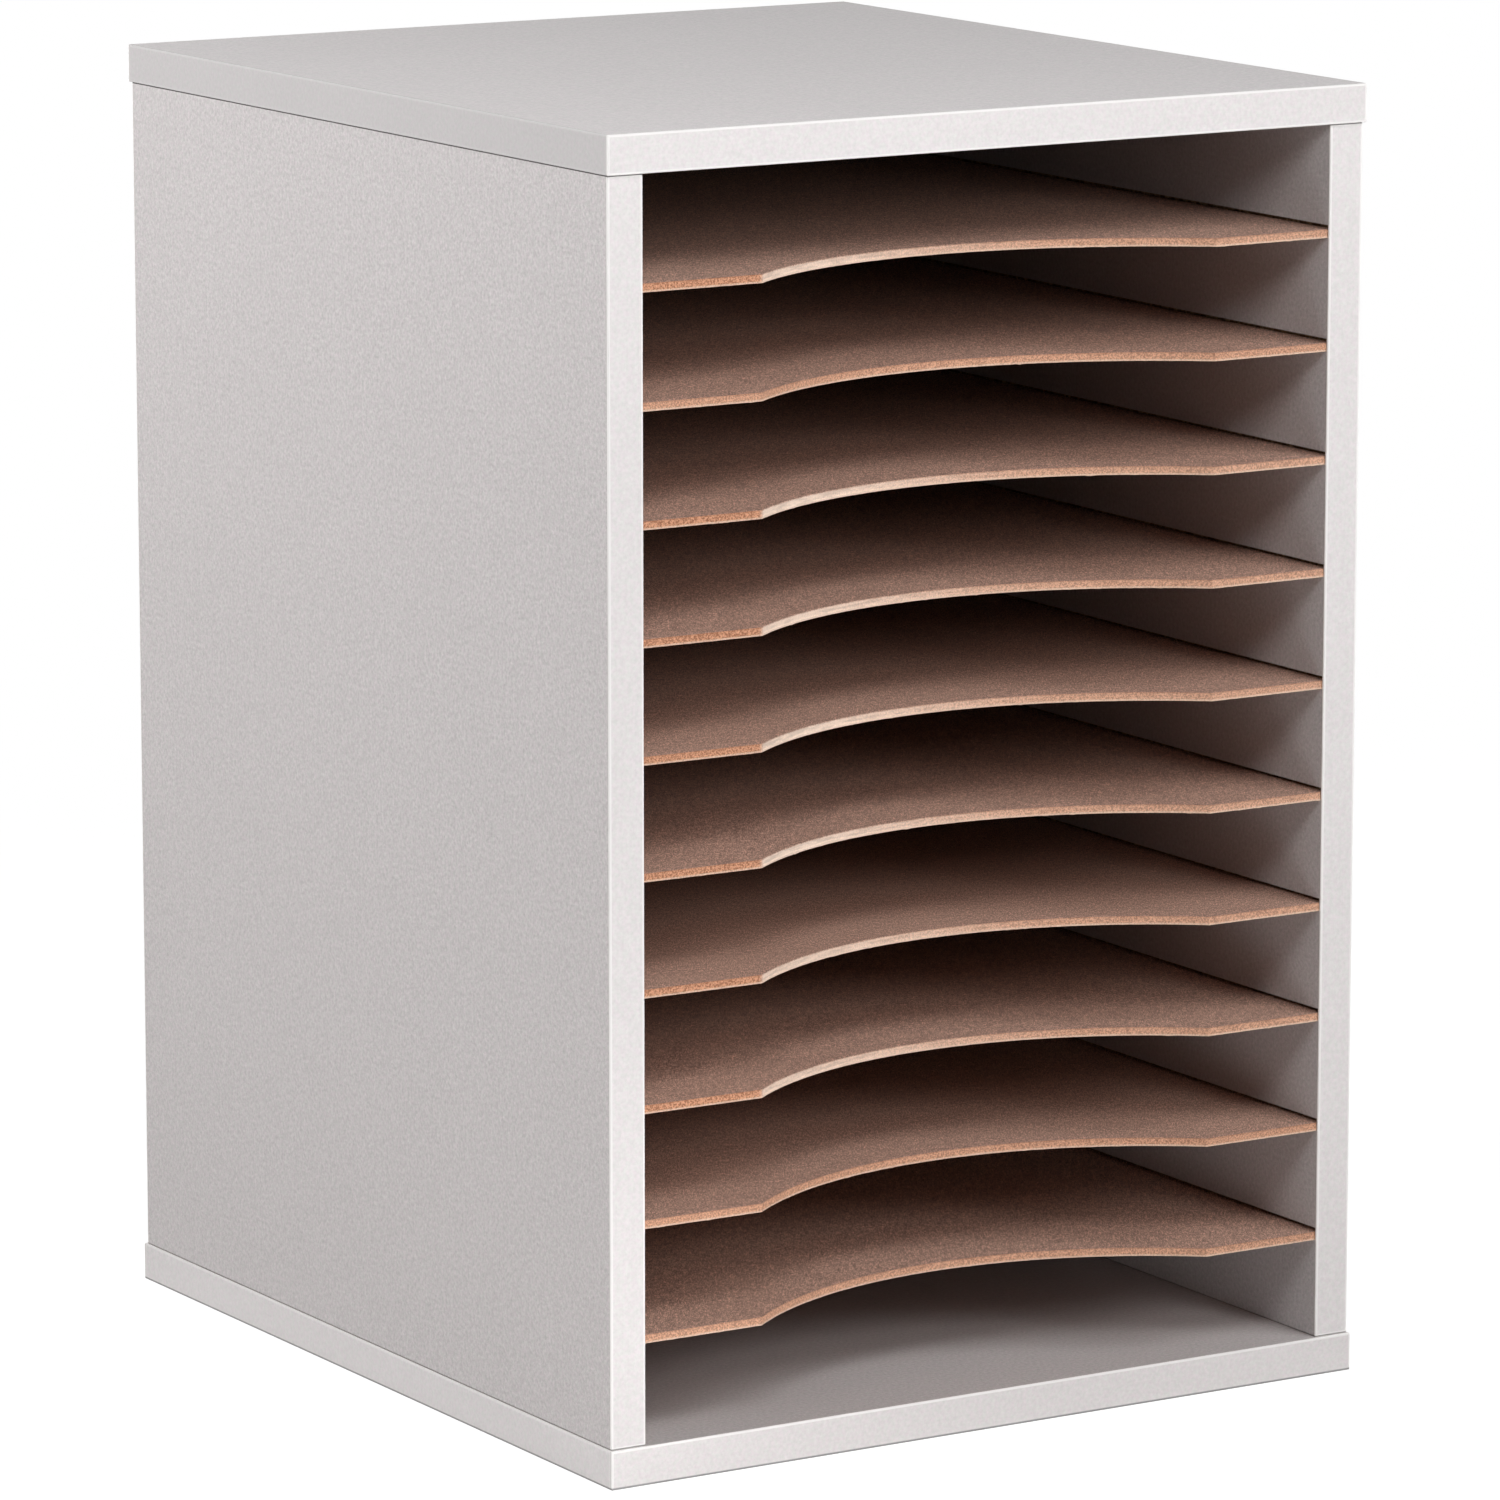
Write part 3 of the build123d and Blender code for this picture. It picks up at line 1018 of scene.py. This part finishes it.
def length(name, description, default):
    """A length that a user may change."""
    return bpy.props.FloatProperty(
        name=name, description=description, default=default, subtype="DISTANCE",
        unit="LENGTH", precision=5,
    )


def share(name, description, default):
    """A plain factor that a user may change."""
    return bpy.props.FloatProperty(name=name, description=description, default=default)


def angle(name, description, default):
    """An angle in degrees that a user may change."""
    return bpy.props.FloatProperty(
        name=name, description=description, default=math.radians(default), subtype="ANGLE",
        unit="ROTATION",
    )


def count(name, description, default, least):
    """A whole number that a user may change."""
    return bpy.props.IntProperty(name=name, description=description, default=default, min=least)


def color(name, description, default):
    """A colour that a user may change."""
    return bpy.props.FloatVectorProperty(
        name=name, description=description, default=paint(*default), subtype="COLOR", size=3,
        min=0.0, max=1.0,
    )


class SorterBoardSettings(bpy.types.PropertyGroup):
    """Colours and texture of the laminated boards and their bands."""

    laminate_color: color("Laminate", "Colour of the boards' faces", (203, 198, 198))
    band_color: color("Band", "Colour of the edge bands", (228, 224, 224))
    # A trimmed edge's paler colour is partly the scraped plastic and partly a painted highlight
    trim_highlight_color: color("Trimmed edge", "Colour of a band's trimmed edges", (246, 244, 243))
    glue_color: color("Glue line", "Line between a band and its board", (150, 138, 128))
    chip_dark_color: color("Dark chips", "Darkest chips of the bare core", (128, 98, 70))
    chip_light_color: color("Light chips", "Lightest chips of the bare core", (206, 176, 136))
    skin_thickness: length("Laminate thickness", "Thickness of each laminate", 0.15 * MM)
    # The dark lines at the head and the foot of an upright board are painted shade
    shade_line_width: length("Seam width", "Width of the dark line where boards meet", 0.5 * MM)
    head_shade_tone: share("Seam tone", "Tone of the line under the top panel, 0 for black", 0.15)
    foot_shade_tone: share("Foot tone", "Tone of the line at a board's foot, 0 for black", 0.5)
    # The ground line is a painted contact shadow along the foot of the bottom bands
    ground_shadow_width: length("Ground line width", "Width of the dark line on the floor", 0.9 * MM)
    ground_shadow_tone: share("Ground line tone", "Tone of the line on the floor, 0 for black", 0.32)
    side_trim_highlight: share("Side trim", "How far the trimmed edges stand out on the sides", 0.45)
    trim_width: length("Trim width", "Width of a band's trimmed edge", 0.9 * MM)
    pebble_size: length("Pebble size", "Width of one pebble of the texture", 1.15 * MM)
    pebble_height: length("Pebble height", "Height of the pebbled texture", 0.03 * MM)
    pebble_contrast: share("Pebble contrast", "How far the pebbles vary in tone", 0.38)
    gloss_roughness: share("Roughness", "Roughness of the laminate's sheen", 0.46)
    chip_size: length("Chip size", "Width of one wood chip in the core", 1.7 * MM)


class SorterShelfSettings(bpy.types.PropertyGroup):
    """Sizes, colours and texture of the hardboard shelves and the back."""

    notch_width: length("Notch width", "Width of the thumb notch at the front", 162 * MM)
    notch_depth: length("Notch depth", "Depth of the thumb notch at its middle", 29 * MM)
    point_spacing: length("Point spacing", "Distance between points on the front", 1.0 * MM)
    cut_roughness: length("Cut roughness", "How far the sawn edge wanders", 0.3 * MM)
    arris: length("Arris", "Width of the rounding on the edges", 0.14 * MM)
    face_color: color("Face", "Colour of the pressed faces", (182, 148, 132))
    edge_color: color("Edge", "Colour of the sawn edges", (221, 163, 129))
    edge_dark_color: color("Dark fibres", "Dark fibres in the sawn edges", (148, 96, 68))
    pale_color: color("Pale cut", "Where the cutter left the edge pale", (247, 224, 206))
    arris_color: color("Arris colour", "Thin line along the lower edge", (235, 208, 186))
    fibre_size: length("Fibre size", "Width of the mottling on the faces", 0.6 * MM)
    fibre_length: share("Fibre length", "How many times longer than wide it is", 5.0)
    fibre_contrast: share("Fibre contrast", "How far the mottling varies in tone", 1.0)
    fibre_turn: angle("Fibre turn", "How far right of straight back the mottling runs", 31.5)
    back_contrast: share("Back contrast", "How far the back's mottling varies in tone", 0.4)
    fibre_height: length("Fibre height", "Height of the fibres", 0.09 * MM)
    screen_pitch: length("Screen pitch", "Pitch of the weave on a rough face", 1.7 * MM)
    screen_depth: length("Screen depth", "Depth of the weave on a rough face", 0.14 * MM)


class SorterFastenerSettings(bpy.types.PropertyGroup):
    """Sizes and colours of the nails and the dowels."""

    nail_shank: length("Shank diameter", "Diameter of a nail's shank", 1.3 * MM)
    nail_head_height: length("Head height", "Height of a nail's head", 0.6 * MM)
    nail_tip_length: length("Tip length", "Length of a nail's point", 1.8 * MM)
    nail_sides: count("Sides", "Faces round a nail", 28, 8)
    seed: count("Seed", "Seed of the nails' turns", 4, 0)
    steel_color: color("Steel", "Colour of the nails", (196, 197, 199))
    dull_color: color("Dull spots", "Colour of the nails' dull spots", (140, 138, 134))
    dowel_chamfer: length("Chamfer", "Chamfer at a dowel's ends", 0.8 * MM)
    flute_depth: length("Flute depth", "Depth of a dowel's flutes", 0.25 * MM)
    flutes: count("Flutes", "Flutes round a dowel", 20, 3)
    wood_color: color("Wood", "Light grain of the dowels", (222, 190, 148))
    wood_dark_color: color("Dark grain", "Dark grain of the dowels", (186, 146, 104))


class SorterStageSettings(bpy.types.PropertyGroup):
    """The floor, the lamps and the camera."""

    floor_size: length("Floor size", "Width of the floor", 12.0)
    shadow_reach: length("Shadow reach", "How far out the floor shows shadows", 1.2)
    floor_color: color("Floor", "Colour of the lit floor", (150, 150, 150))
    floor_glow: share("Floor glow", "How pale the floor stays in a shadow", 0.865)
    bounce_color: color("Bounce", "Colour that the floor throws back", (225, 223, 221))
    ambient: share("Ambient light", "Level of the light from all round", 0.01)
    lamp_level: share("Lamp level", "Power of all the lamps together, 1 as set out", 1.0)
    camera_place: bpy.props.FloatVectorProperty(
        name="Camera place", description="Where the camera stands",
        default=(-1.364, -2.238, 0.681), subtype="TRANSLATION", unit="LENGTH",
    )
    camera_turn: angle("Camera turn", "How far right of straight ahead the camera looks", 31.47)
    camera_dip: angle("Camera dip", "How far down the camera looks", 10.66)
    focal_length: bpy.props.FloatProperty(
        name="Focal length", description="Focal length on a sensor 36 mm wide", default=201.4,
        subtype="DISTANCE_CAMERA", unit="CAMERA",
    )


# Pieces


class SORTER_OT_dress_boards(bpy.types.Operator):
    """Lays laminate on the faces of the four boards and bares the chipboard where they are cut"""

    bl_idname = "sorter.dress_boards"
    bl_label = "Dress the boards"

    def execute(self, context):
        look = context.scene.sorter_boards
        for place, (node, (axis, tone)) in enumerate(BOARDS.items()):
            shift = shifted(BOARD_SHIFT, place)
            dress(node, laminate_finish(node, axis, tone, look, shift))
        return {"FINISHED"}


class SORTER_OT_dress_bands(bpy.types.Operator):
    """Gives each edge band its plastic, with trimmed edges and a glue line"""

    bl_idname = "sorter.dress_bands"
    bl_label = "Dress the edge bands"

    def execute(self, context):
        look = context.scene.sorter_boards
        for place, (node, (axis, outward, side, tone)) in enumerate(BANDS.items()):
            shift = shifted(BAND_SHIFT, place)
            dress(node, band_finish(node, axis, outward, side, tone, look, shift))
        return {"FINISHED"}


# How pale each shelf's cut is along the notch's left flank and along the whole edge, by the
# shelf's number from the top
FLANK_LEVELS = {1: 0.8, 3: 0.9, 4: 0.85, 5: 0.9, 6: 0.9, 7: 0.8, 8: 0.75}
EDGE_LEVELS = {2: 0.12, 9: 0.1, 10: 0.13}


class SORTER_OT_cut_shelves(bpy.types.Operator):
    """Makes the ten hardboard shelves, each with its thumb notch"""

    bl_idname = "sorter.cut_shelves"
    bl_label = "Cut the shelves"

    def execute(self, context):
        look = context.scene.sorter_shelves
        tree = shelf_shape()
        finish = shelf_finish(look)
        for node in SHELVES:
            number = int(node.split("_")[1])
            low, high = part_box(node)
            piece = piece_from(node + "_hardboard", tree, {
                "Half Width": high.x,
                "Front": low.y,
                "Rear": high.y,
                "Underside": low.z,
                "Thickness": high.z - low.z,
                "Notch Width": look.notch_width,
                "Notch Depth": look.notch_depth,
                "Point Spacing": look.point_spacing,
                "Cut Roughness": look.cut_roughness,
                "Pale Flank": FLANK_LEVELS.get(number, 0.0),
                "Pale Edge": EDGE_LEVELS.get(number, 0.0),
                "Number": float(number),
                "Finish": finish,
            }, arris=look.arris)
            stand_for(piece, node)
        return {"FINISHED"}


class SORTER_OT_dress_back(bpy.types.Operator):
    """Gives the back its hardboard, smooth inside and screen-pressed outside"""

    bl_idname = "sorter.dress_back"
    bl_label = "Dress the back"

    def execute(self, context):
        dress(BACK, back_finish(context.scene.sorter_shelves))
        return {"FINISHED"}


class SORTER_OT_drive_nails(bpy.types.Operator):
    """Drives a nail at each place in the back"""

    bl_idname = "sorter.drive_nails"
    bl_label = "Drive the nails"

    def execute(self, context):
        look = context.scene.sorter_fasteners
        corners = places_of(NAILS, (X, Z))
        low, high = corners[0]
        seat = high.y - look.nail_head_height
        points = [((low.x + high.x) / 2, seat, (low.z + high.z) / 2) for low, high in corners]
        piece = piece_from("panel_nails", nail_shape(), {
            "Head Diameter": high.x - low.x,
            "Head Height": look.nail_head_height,
            "Shank Diameter": look.nail_shank,
            "Length": seat - low.y,
            "Tip Length": look.nail_tip_length,
            "Sides": look.nail_sides,
            "Seed": look.seed,
            "Finish": nail_finish(look),
        }, points)
        stand_for(piece, NAILS)
        return {"FINISHED"}


class SORTER_OT_turn_dowels(bpy.types.Operator):
    """Turns the fluted dowels that hold the sides to the top and the bottom"""

    bl_idname = "sorter.turn_dowels"
    bl_label = "Turn the dowels"

    def execute(self, context):
        look = context.scene.sorter_fasteners
        tree = dowel_shape()
        finish = dowel_finish(look)
        for node in DOWELS:
            corners = places_of(node, (X, Y))
            low, high = corners[0]
            points = [(low + high) / 2 for low, high in corners]
            piece = piece_from(node + "_fluted", tree, {
                "Diameter": high.x - low.x,
                "Length": high.z - low.z,
                "Chamfer": look.dowel_chamfer,
                "Flute Depth": look.flute_depth,
                "Flutes": look.flutes,
                "Finish": finish,
            }, points)
            stand_for(piece, node)
        return {"FINISHED"}


# Each lamp: where it hangs, how wide it is, and its power in watts
LAMPS = {
    "key softbox": ((0.62, -0.88, 1.1), 0.6, 5.2),
    "right softbox": ((0.345, -1.286, 0.633), 0.3, 4.6),
    "front softbox": ((0.0, -1.36, 0.83), 0.7, 0.9),
    "left softbox": ((-0.41, -0.709, 0.774), 0.25, 2.15),
    "outer left softbox": ((-0.713, -0.411, 0.675), 0.25, 0.42),
    "low softbox": ((-0.14, -0.3, 0.02), 0.08, 0.095),
    "side softbox": ((-0.85, 0.35, 0.8), 0.5, 6.85),
    "rear softbox": ((0.1, 1.9, 0.4), 0.6, 5.0),
    "far softbox": ((1.9, 0.3, 0.4), 0.6, 13.0),
}
LAMP_TARGET = Vector((0.0, 0.0, 0.2))
SENSOR_WIDTH = 36.0


def lay_floor(look):
    """The pale floor, level with the underside of the object."""
    half = look.floor_size / 2
    corners = [(-half, -half, 0), (half, -half, 0), (half, half, 0), (-half, half, 0)]
    mesh = bpy.data.meshes.new("pale_floor")
    mesh.from_pydata(corners, [], [(0, 1, 2, 3)])
    mesh.materials.append(floor_finish(look))
    floor = bpy.data.objects.new("pale_floor", mesh)
    bpy.context.scene.collection.objects.link(floor)


def light_surroundings(look):
    """White all round where it is seen, and faint where it only lights the object."""
    world = bpy.data.worlds.new("studio")
    world.use_nodes = True
    bpy.context.scene.world = world
    sheet = Sheet(world.node_tree)
    sheet.tree.nodes.clear()
    level = sheet.ramp(seen_directly(sheet), 0.0, 1.0, look.ambient, 1.0, "LINEAR")
    values = {"Color": WHITE, "Strength": level}
    background = sheet.add("ShaderNodeBackground", values).outputs[0]
    sheet.add("ShaderNodeOutputWorld", {"Surface": background})


def hang_softbox(name, place, size, power):
    """A square lamp that points at the middle of the object."""
    lamp = bpy.data.lights.new(name, "AREA")
    lamp.shape = "SQUARE"
    lamp.size = size
    lamp.energy = power
    holder = bpy.data.objects.new(name, lamp)
    direction = LAMP_TARGET - Vector(place)
    holder.location = place
    holder.rotation_euler = direction.to_track_quat("-Z", "Y").to_euler()
    bpy.context.scene.collection.objects.link(holder)


def stand_camera(look):
    """The camera at its place, turned and dipped towards the object."""
    lens = bpy.data.cameras.new("camera")
    lens.sensor_width = SENSOR_WIDTH
    lens.lens = look.focal_length
    camera = bpy.data.objects.new("camera", lens)
    camera.location = look.camera_place
    camera.rotation_euler = (math.pi / 2 - look.camera_dip, 0.0, -look.camera_turn)
    bpy.context.scene.collection.objects.link(camera)
    bpy.context.scene.camera = camera


class SORTER_OT_set_stage(bpy.types.Operator):
    """Lays the pale floor, hangs the lamps and stands the camera"""

    bl_idname = "sorter.set_stage"
    bl_label = "Set the stage"

    def execute(self, context):
        look = context.scene.sorter_stage
        lay_floor(look)
        light_surroundings(look)
        for name, (place, size, power) in LAMPS.items():
            hang_softbox(name, place, size, power * look.lamp_level)
        stand_camera(look)
        context.scene.view_settings.view_transform = "Standard"
        return {"FINISHED"}


PIECES = (
    SORTER_OT_dress_boards,
    SORTER_OT_dress_bands,
    SORTER_OT_cut_shelves,
    SORTER_OT_dress_back,
    SORTER_OT_drive_nails,
    SORTER_OT_turn_dowels,
    SORTER_OT_set_stage,
)
SETTINGS = {
    "sorter_boards": SorterBoardSettings,
    "sorter_shelves": SorterShelfSettings,
    "sorter_fasteners": SorterFastenerSettings,
    "sorter_stage": SorterStageSettings,
}


class SORTER_PT_panel(bpy.types.Panel):
    """Lists the sorter's pieces and their settings"""

    bl_label = "Desktop sorter"
    bl_idname = "SORTER_PT_panel"
    bl_space_type = "VIEW_3D"
    bl_region_type = "UI"
    bl_category = "Sorter"

    def draw(self, context):
        for piece in PIECES:
            self.layout.operator(piece.bl_idname)
        for name, group in SETTINGS.items():
            box = self.layout.box()
            settings = getattr(context.scene, name)
            for setting in group.__annotations__:
                box.prop(settings, setting)


def register():
    """Registers the settings, the operators and the panel."""
    for name, group in SETTINGS.items():
        bpy.utils.register_class(group)
        setattr(bpy.types.Scene, name, bpy.props.PointerProperty(type=group))
    for piece in (*PIECES, SORTER_PT_panel):
        bpy.utils.register_class(piece)


def unregister():
    """Takes the panel, the operators and the settings out again."""
    for piece in (SORTER_PT_panel, *reversed(PIECES)):
        bpy.utils.unregister_class(piece)
    for name, group in reversed(SETTINGS.items()):
        delattr(bpy.types.Scene, name)
        bpy.utils.unregister_class(group)


def main():
    """Makes every piece and the stage."""
    register()
    bpy.ops.sorter.dress_boards()
    bpy.ops.sorter.dress_bands()
    bpy.ops.sorter.cut_shelves()
    bpy.ops.sorter.dress_back()
    bpy.ops.sorter.drive_nails()
    bpy.ops.sorter.turn_dowels()
    bpy.ops.sorter.set_stage()


if __name__ == "__main__":
    main()
